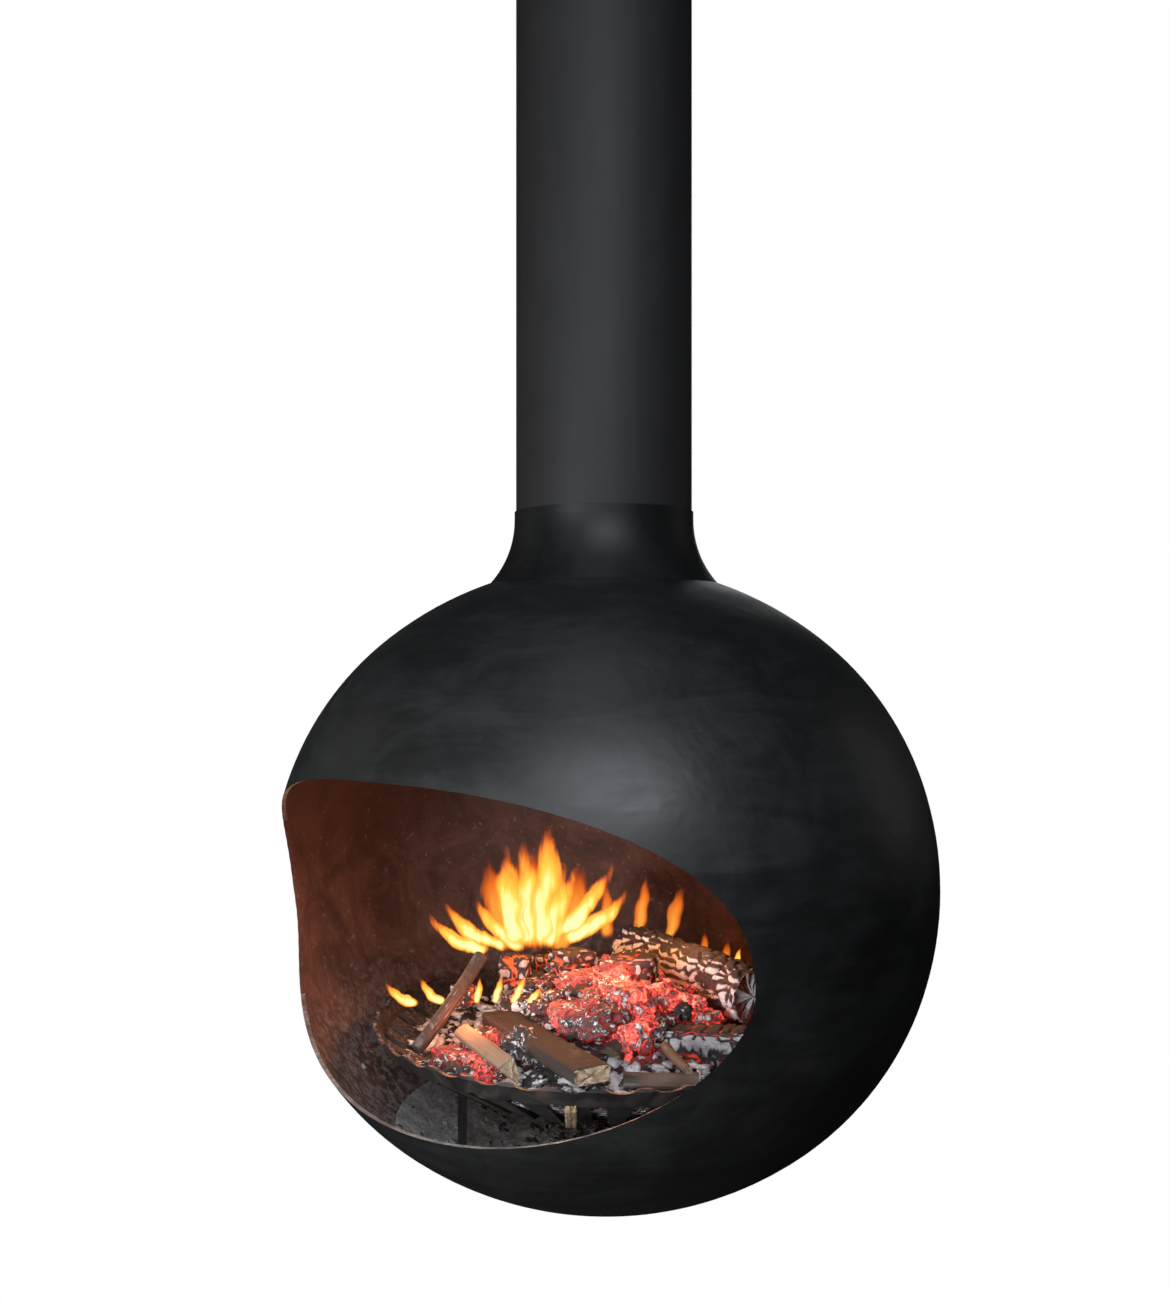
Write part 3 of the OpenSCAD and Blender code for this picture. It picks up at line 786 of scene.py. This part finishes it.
def scatter_on_bed(count, size, rng, wanted, sink=0.3, flat=0.75, reach=0.93):
    """Spots for lumps on the bed, kept where wanted(x, y) says so."""
    spots = []
    while len(spots) < count:
        r = BED_HIGH.x * reach * math.sqrt(rng.uniform())
        a = rng.uniform(0, 2 * math.pi)
        x, y = r * math.cos(a), r * math.sin(a)
        if rng.uniform() > wanted(x, y):
            continue
        half = rng.uniform(*size) * np.array([1.0, rng.uniform(0.55, 0.9), rng.uniform(0.35, flat)])
        z = bed_height(x, y) + half[2] * (1 - 2 * sink)
        spots.append(((x, y, z), half, random_turn(rng, 0.7), heat_at(x, y) * rng.uniform(0.1, 1.2)))
    return spots


# ---- flames ----


def smooth_path(points, steps):
    """A Catmull-Rom curve through the points."""
    padded = [points[0] * 2 - points[1], *points, points[-1] * 2 - points[-2]]
    found = []
    for i in range(steps):
        t = i / (steps - 1) * (len(points) - 1)
        k = min(int(t), len(points) - 2)
        f = t - k
        a, b, c, d = padded[k:k + 4]
        found.append(0.5 * ((2 * b) + (c - a) * f + (2 * a - 5 * b + 4 * c - d) * f ** 2
                            + (3 * b - a - 3 * c + d) * f ** 3))
    return found


def tongue_shape(path, widths, turn, thick, seed, steps, around):
    """One closed tongue of flame: rings of a thin lens along a curved path."""
    spine = smooth_path(path, steps)
    sizes = smooth_path([Vector((w, 0, 0)) for w in widths], steps)
    verts, marks = [], []
    for i, at in enumerate(spine):
        t = i / (steps - 1)
        ahead = (spine[min(i + 1, steps - 1)] - spine[max(i - 1, 0)]).normalized()
        lean = turn + 0.5 * noise.noise(Vector((t * 2, seed, 9)))
        side = ahead.cross(TOWARD * math.cos(lean) + RIGHT * math.sin(lean)).normalized()
        depth = ahead.cross(side)
        half = max(0.0003, sizes[i].x * (1 + 0.25 * noise.noise(Vector((t * 5, seed, 0)))))
        wander = side * half * 0.4 * noise.noise(Vector((t * 4, seed, 5)))
        for k in range(around):
            a = 2 * math.pi * k / around
            verts.append(at + wander + side * half * math.cos(a) + depth * half * thick * math.sin(a))
            marks.append((math.cos(a), t))
    return verts, marks


FLAME_SPREAD = 1.15


def make_flames(name, tongues, material):
    verts, marks, faces = [], [], []
    steps, around = 44, 20
    for seed, (points, toward, turn, thick) in enumerate(tongues):
        base = len(verts)
        path = [seen(right / 1000, up / 1000, toward) for right, up, _ in points]
        widths = [half * FLAME_SPREAD / 1000 for _, _, half in points]
        shape, mark = tongue_shape(path, widths, turn, thick, seed * 1.7, steps, around)
        verts += shape
        marks += mark
        for i in range(steps - 1):
            for k in range(around):
                j = (k + 1) % around
                faces.append((base + i * around + k, base + i * around + j,
                              base + (i + 1) * around + j, base + (i + 1) * around + k))
        faces.append(tuple(base + k for k in range(around - 1, -1, -1)))
        faces.append(tuple(base + (steps - 1) * around + k for k in range(around)))
    piece = add_piece(name, verts, faces, [material], "fire_basket")
    corner_map(piece, "tongue", marks)
    return piece


# ---- build: CAD nodes get their materials ----

GLOBE = globe_steel()
COLLAR = black_paint("collar_satin", (0.0075, 0.0076, 0.0077), 0.46, 0.45)
FLUE = black_paint("flue_matt", (0.021, 0.0205, 0.0205), 0.6, 0.12)
ZINC = bare_metal("zinc_plate", (0.42, 0.43, 0.45), (0.62, 0.63, 0.64), 0.38)
BEARING = bare_metal("bearing_steel", (0.55, 0.56, 0.58), (0.78, 0.79, 0.8), 0.2)
SPIGOT = bare_metal("spigot_steel", (0.45, 0.45, 0.45), (0.66, 0.65, 0.63), 0.3)
PLAIN = bare_metal("stained_steel", (0.07, 0.055, 0.045), (0.2, 0.17, 0.15), 0.6, 0.7)
NODE_PAINT = {
    "globe_steel": GLOBE, "collar_black": COLLAR, "flue_black": FLUE, "plain_steel": PLAIN,
    "zinc_steel": ZINC, "bearing_steel": BEARING, "spigot_steel": SPIGOT,
    "fibre_rope": fibre_rope(), "basket_iron": basket_iron(),
}
for part in frame["record"]["subparts"]:
    paint = NODE_PAINT.get(part["material_slot"])
    if paint:
        for material_slot in frame["nodes"][part["node"]].material_slots:
            material_slot.material = paint

# ---- build: wood ----

# Both char materials paint light on the sides of their blocks and shade on their tops, partly as ash.
CHAR = char("char_ash_and_painted_side_light", 0.75, (0.6, 0.57, 0.59), 1.3, (0.42, 0.66))
LOG_CHAR = char("cracked_log_char", 0.6, (0.86, 0.85, 0.86), 1.2, (0.04, 0.24))
BARK = wood("brown_bark", (0.04, 0.026, 0.019), (0.13, 0.08, 0.054), (0.035, 0.025, 0.019), 0.25, 0.3)
STICK = wood("stick_bark", (0.035, 0.024, 0.018), (0.12, 0.084, 0.062), (0.05, 0.036, 0.028), 0.55, 0.5)
DARK = wood("smoked_wood", (0.011, 0.009, 0.0078), (0.036, 0.029, 0.024), (0.08, 0.064, 0.05), 0.3, 0.1)
PALE = wood("split_wood", (0.17, 0.115, 0.07), (0.36, 0.265, 0.175), (0.14, 0.085, 0.05), 0.12, 0.0)
PALE_END = end_grain("pale_end", (0.2, 0.14, 0.085), (0.45, 0.34, 0.23))
DARK_END = end_grain("dark_end", (0.07, 0.05, 0.036), (0.22, 0.155, 0.1))

timber("charred_back_log", "back_log", round_section, [LOG_CHAR, LOG_CHAR], rings=150,
       around=110, rough=0.05, crack=0.1, crack_scale=62, heat=0.04, seed=2)
timber("smoked_plank", "split_plank", square_section, [DARK, PALE_END], rings=90,
       around=72, rough=0.07, seed=3)
timber("pale_billet", "split_billet", wedge_section, [PALE, PALE_END], rings=70,
       around=64, rough=0.09, seed=4)
timber("propped_stick", "leaning_stick", round_section, [STICK, DARK_END], rings=80,
       around=40, rough=0.11, bend=0.04, seed=5)
timber("burnt_slab", "charred_slab", square_section, [CHAR, CHAR], rings=110,
       around=90, rough=0.06, crack=0.1, crack_scale=70, heat=0.25, seed=6)
timber("brown_stub", "stub_log", round_section, [BARK, DARK_END], rings=60,
       around=44, rough=0.08, seed=7)
timber("rim_log", "front_log", round_section, [BARK, DARK_END], rings=60,
       around=40, rough=0.1, bend=0.03, seed=8)
timber("crossing_stick", "thin_stick", round_section, [BARK, DARK_END], rings=60,
       around=36, rough=0.12, bend=0.03, taper=0.25, seed=9)

# ---- build: embers, charcoal and ash ----

EMBER = ember()
WHITE_ASH = ash("white_ash", (0.4, 0.385, 0.39), (0.84, 0.82, 0.84))
GREY_ASH = ash("grey_ash", (0.12, 0.115, 0.112), (0.62, 0.6, 0.585), 240)
GRIT = ash("black_grit", (0.012, 0.011, 0.011), (0.09, 0.085, 0.08), 300)

make_globe(GLOBE)
make_bed(EMBER)
lumps = []
for solid in islands("charcoal"):
    middle, axes, half = fit_box(solid)
    lumps.append((middle, half * 1.02, axes.T, 0.6))
heap("charcoal_blocks", lumps, CHAR, "fire_basket", detail=4, power=7.0, rough=0.12,
     cell=1.6, replaces=("charcoal",), seed=11)

rng = np.random.default_rng(707)
heap("large_coals", scatter_on_bed(70, (0.014, 0.026), rng, lambda x, y: heat_at(x, y) ** 2, sink=0.25),
     EMBER, "fire_basket", detail=4, power=7.0, rough=0.13, cell=1.5, seed=15)
heap("glowing_coals", scatter_on_bed(170, (0.006, 0.014), rng, lambda x, y: heat_at(x, y), sink=0.1),
     EMBER, "fire_basket", detail=3, power=5.0, rough=0.2, seed=12)
heap("ash_flakes", scatter_on_bed(760, (0.003, 0.012), rng,
                                  lambda x, y: 1.0 - 0.9 * heat_at(x, y), flat=0.4),
     WHITE_ASH, "fire_basket", detail=2, power=2.6, rough=0.35, seed=13)
heap("dead_coals", scatter_on_bed(60, (0.007, 0.017), rng, lambda x, y: 1.0 - heat_at(x, y)),
     CHAR, "fire_basket", detail=3, power=6.0, rough=0.2, seed=14)


def make_ash_floor():
    """Ash on the globe's floor: a cap with a ragged edge lying in the bowl of the steel."""
    rings, around = 60, 140
    edge = 0.24
    verts, faces = [], []
    for i in range(rings):
        for k in range(around):
            a = 2 * math.pi * k / around
            r = edge * (i + 0.02) / (rings - 1)
            x, y = r * math.cos(a), r * math.sin(a)
            steel = steel_height(x, y) + 0.0006
            bumps = noise.noise(Vector((x, y, 0)) * 70) * 0.004
            bumps += noise.noise(Vector((x, y, 4)) * 190) * 0.002
            drift = noise.noise(Vector((x, y, 8)) * 14) * 0.012
            layer = 0.005 * (1 - (r / edge) ** 2) + drift * 0.35 + bumps
            z = max(ASH_TOP - 0.004 + drift * 0.5 + bumps, steel + layer)
            if i == rings - 1:
                z = steel
            verts.append((x, y, max(z, steel)))
    for i in range(rings - 1):
        for k in range(around):
            j = (k + 1) % around
            faces.append((i * around + k, (i + 1) * around + k, (i + 1) * around + j, i * around + j))
    faces.append(tuple(range(around)))
    add_piece("ash_on_floor", verts, faces, [GREY_ASH], "fire_globe", ("ash_bed",))


def scatter_on_floor(count, size, rng, spread=0.13, high=0.3):
    """Spots for grit on the inside of the globe, thinning out up the wall."""
    spots = []
    while len(spots) < count:
        r = abs(rng.normal(0.0, spread)) + 0.02
        if r > high:
            continue
        a = rng.uniform(0, 2 * math.pi)
        half = rng.uniform(*size) * np.array([1, rng.uniform(0.5, 0.9), rng.uniform(0.3, 0.7)])
        x, y = r * math.cos(a), r * math.sin(a)
        steel = steel_height(x, y) + half[2]
        z = max(steel, ASH_TOP - 0.002) + (0.004 if r < 0.2 else 0.0)
        inward = Vector((-x, -y, CENTRE.z - z)).normalized()
        lie = inward.to_track_quat("Z", "X").to_matrix() @ Matrix.Rotation(a * 3, 3, "Z")
        spots.append(((x, y, z), half, lie, 0.0))
    return spots


make_ash_floor()
STICK_WOOD = ash("split_stick_wood", (0.1, 0.062, 0.034), (0.42, 0.3, 0.17))
hanging = Vector((-0.028, 0.035, -0.035))
heap("hanging_stick_end", [(CENTRE + Vector((0.117, -0.2, -0.1975)), (0.029, 0.0065, 0.005),
                            hanging.to_track_quat("X", "Z").to_matrix(), 0.0)],
     STICK_WOOD, "fire_basket", detail=4, power=9.0, rough=0.09, seed=31)
heap("floor_ash_crumbs", scatter_on_floor(750, (0.0015, 0.0055), rng), GREY_ASH, "fire_globe",
     detail=1, power=3.0, rough=0.25, seed=21)
heap("floor_grit", scatter_on_floor(520, (0.0012, 0.0045), rng, 0.12), GRIT, "fire_globe",
     detail=1, power=5.0, rough=0.25, seed=22)

# ---- build: flames ----

TONGUE_POINTS = 7
# How much of its lean a tongue loses by its tip, how much shorter the outer ones of a fan are,
# and how much shorter every second one is.
FAN_CURL, FAN_DROOP, FAN_STAGGER = 0.7, 0.25, 0.15
# Half width at the tip as a share of the widest, and the part of the swelling that the foot skips.
TIP_WIDTH, FOOT_SKIP = 0.12, 0.2
FAN_TURN, FAN_THICKNESS, FAN_DEPTH_STEP = 0.2, 0.35, 0.006


def flame_fan(count, foot, spread, length, lean, splay, half, toward):
    """Tongues side by side that splay out and curl upright (mm, degrees; toward is in metres)."""
    fan = []
    for i in range(count):
        side = 2 * i / (count - 1) - 1
        right, up = foot[0] + spread * side, foot[1]
        step = length * (1 - FAN_DROOP * side * side) * (1 - FAN_STAGGER * (i % 2)) / (TONGUE_POINTS - 1)
        points = []
        for k in range(TONGUE_POINTS):
            share = k / (TONGUE_POINTS - 1)
            swell = math.sin(math.pi * (FOOT_SKIP + (1 - FOOT_SKIP) * share))
            points.append((right, up, half * (TIP_WIDTH + (1 - TIP_WIDTH) * swell)))
            angle = math.radians((lean + splay * side) * (1 - FAN_CURL * share))
            right += step * math.sin(angle)
            up += step * math.cos(angle)
        fan.append((points, toward - FAN_DEPTH_STEP * i, FAN_TURN * side, FAN_THICKNESS))
    return fan


# The tall flame left of the middle, the sweeps to its left and right, a lick over the left rim,
# and small licks on the heap and behind the long log.
BRIGHT_TONGUES = (
    flame_fan(4, (-85, -85), 15, 160, 5, 14, 18, -0.04)
    + flame_fan(3, (-110, -85), 20, 120, -75, 12, 9, -0.035)
    + flame_fan(3, (-70, -75), 20, 150, 60, 12, 11, -0.06)
    + flame_fan(2, (-200, -150), 15, 70, -70, 10, 6, 0.03)
    + flame_fan(4, (-120, -150), 30, 45, 30, 20, 4, 0.085)
    + flame_fan(3, (90, -110), 60, 40, 10, 20, 4, -0.09))
SOFT_TONGUES = (
    flame_fan(3, (-85, -90), 25, 160, 5, 22, 15, -0.07)
    + flame_fan(3, (40, -75), 35, 95, 10, 10, 9, -0.11)
    + flame_fan(2, (125, -125), 10, 90, 10, 5, 6, -0.07))
make_flames("flames_bright", BRIGHT_TONGUES,
            flame("flame_bright", (1.0, 0.85, 0.36), (1.0, 0.5, 0.06), (0.9, 0.13, 0.01), 1.45, 0.96))
make_flames("flames_soft", SOFT_TONGUES,
            flame("flame_soft", (1.0, 0.42, 0.06), (0.95, 0.22, 0.022), (0.6, 0.06, 0.006), 1.1, 0.66))

# ---- light, floor and world ----


def area_light(name, at, size, power, colour=(1, 1, 1), target=CENTRE):
    data = bpy.data.lights.new(name, "AREA")
    data.shape = "RECTANGLE"
    data.size, data.size_y = size
    data.energy = power
    data.color = colour
    lamp = bpy.data.objects.new(name, data)
    lamp.location = at
    lamp.rotation_euler = (target - at).to_track_quat("-Z", "Y").to_euler()
    bpy.context.scene.collection.objects.link(lamp)
    return lamp


def fire_light(name, at, power, radius=0.04, colour=(1.0, 0.38, 0.15)):
    data = bpy.data.lights.new(name, "POINT")
    data.energy = power
    data.shadow_soft_size = radius
    data.color = colour
    lamp = bpy.data.objects.new(name, data)
    lamp.location = at
    bpy.context.scene.collection.objects.link(lamp)


area_light("key", place(0.05, 1.85, 1.27), (1.3, 0.6), 22, (0.86, 0.92, 1.0))
area_light("mouth_fill", place(-1.35, 1.7, 0.0), (0.5, 0.5), 34, (0.95, 0.97, 1.0),
           place(-0.08, 0, -0.2))
area_light("floor_fill", place(-0.2, 0.5, -0.05), (0.2, 0.1), 1.1, (0.95, 0.97, 1.0),
           place(-0.1, 0.12, -0.34)).visible_camera = False
area_light("crown_sheen", place(-0.1, 0.5, 2.4), (0.8, 0.5), 2.5, (0.93, 0.96, 1.0))
area_light("back_soft", place(0.3, -2.3, 1.0), (1.2, 1.2), 5, (0.95, 0.97, 1.0))
area_light("edge_left", place(-2.2, -0.9, 0.9), (0.5, 1.2), 0.8)
area_light("edge_right", place(2.3, -0.7, 0.7), (0.5, 1.2), 1)
fire_light("fire_glow_middle", place(-0.05, 0.03, -0.02), 1.35)
fire_light("fire_glow_left", place(-0.2, 0.05, -0.1), 0.4)
fire_light("fire_glow_right", place(0.1, -0.02, -0.05), 0.6)
fire_light("ember_glow_heap", place(0.02, 0.06, -0.09), 0.35, 0.03, (1.0, 0.2, 0.1))
fire_light("ember_glow_left", place(-0.15, 0.1, -0.13), 0.25, 0.02, (1.0, 0.25, 0.1))


def make_world():
    world = bpy.data.worlds.new("studio")
    world.use_nodes = True
    nodes, links = world.node_tree.nodes, world.node_tree.links
    seen = nodes.new("ShaderNodeBackground")
    seen.inputs["Color"].default_value = (1, 1, 1, 1)
    lit = nodes["Background"]
    lit.inputs["Color"].default_value = (0.9, 0.95, 1.0, 1)
    lit.inputs["Strength"].default_value = 0.02
    either = nodes.new("ShaderNodeMixShader")
    links.new(nodes.new("ShaderNodeLightPath").outputs["Is Camera Ray"], either.inputs[0])
    links.new(lit.outputs[0], either.inputs[1])
    links.new(seen.outputs[0], either.inputs[2])
    links.new(either.outputs[0], nodes["World Output"].inputs["Surface"])
    bpy.context.scene.world = world


FLOOR_DROP = 0.5
FLOOR_REACH = 30


def make_floor():
    p = Paint("studio_floor")
    p.set(Base_Color=(0.02, 0.02, 0.02), Roughness=0.9)
    pale = p.node("ShaderNodeEmission", Color=(1.0, 1.0, 1.0), Strength=1.0)
    either = p.nodes.new("ShaderNodeMixShader")
    p.put(either.inputs[0], p.node("ShaderNodeLightPath").outputs["Is Camera Ray"])
    p.put(either.inputs[1], p.shader.outputs[0])
    p.put(either.inputs[2], pale.outputs[0])
    p.put(p.output.inputs["Surface"], either.outputs[0])
    mesh = bpy.data.meshes.new("floor")
    z = GLOBE_LOW.z - FLOOR_DROP
    far = FLOOR_REACH
    corners = [(-far, -far, z), (far, -far, z), (far, far, z), (-far, far, z)]
    mesh.from_pydata(corners, [], [(0, 1, 2, 3)])
    mesh.materials.append(p.material)
    floor = bpy.data.objects.new("floor", mesh)
    bpy.context.scene.collection.objects.link(floor)


make_world()
make_floor()
bpy.context.scene.view_settings.view_transform = "Standard"
bpy.context.scene.cycles.use_denoising = True
bpy.context.scene.cycles.transparent_max_bounces = 24

bpy.context.view_layer.update()
